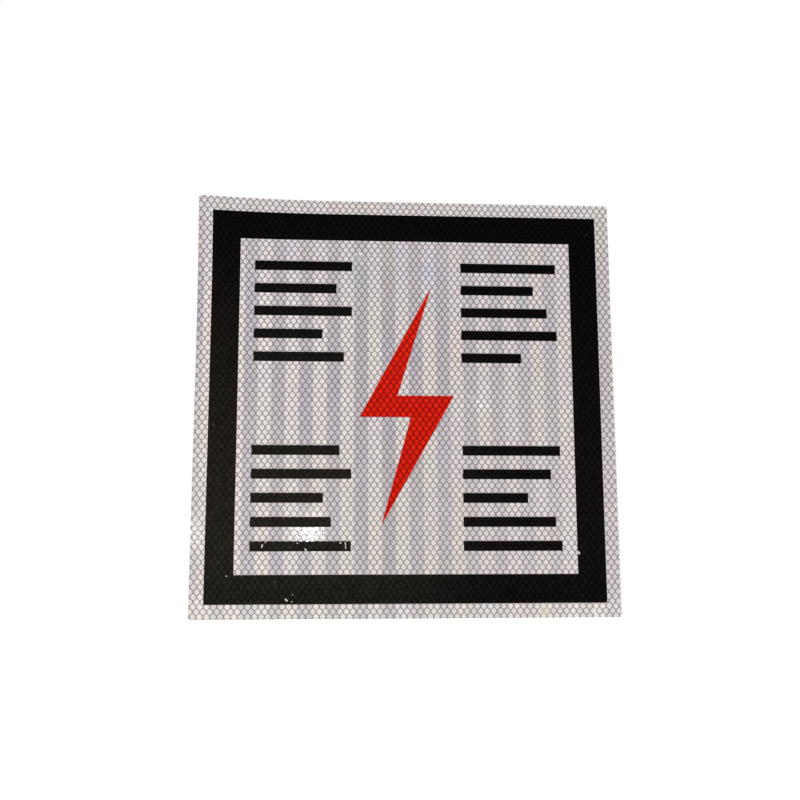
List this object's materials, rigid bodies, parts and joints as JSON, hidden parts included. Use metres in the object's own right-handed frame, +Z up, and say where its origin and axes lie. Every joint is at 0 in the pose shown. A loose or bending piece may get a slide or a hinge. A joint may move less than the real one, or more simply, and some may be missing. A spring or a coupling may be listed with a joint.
{
  "type": "high voltage warning sign",
  "caption": "Square sign plate faced with white prismatic reflective sheeting, printed with a black border, a red lightning bolt and blocks of plain black lines; its upper left corner is bent forward a little.",
  "frame": {"origin": "centre of the plate's bare back face", "axes": "+Z up, the printed face looks towards -Y, +X to the right as seen from the front; +Y points out of the back, towards the wall"},
  "size_m": [0.3, 0.0097, 0.3],
  "materials": {
    "plate": "plain mill-finish aluminium, fine rolling grain, sawn edges",
    "sheeting": "smooth clear-faced prismatic sheeting, white, with a fine diamond seal pattern and broad pale bands",
    "black_print": "even satin ink over the sheeting, lightly chipped",
    "red_print": "see-through red ink over the sheeting's diamond pattern"
  },
  "bodies": {
    "root": {"backing_plate": "plate", "reflective_sheet": "sheeting", "black_border": "black_print", "lightning_bolt": "red_print", "upper_left_lines": "black_print", "upper_right_lines": "black_print", "lower_left_lines": "black_print", "lower_right_lines": "black_print"}
  },
  "joints": []
}
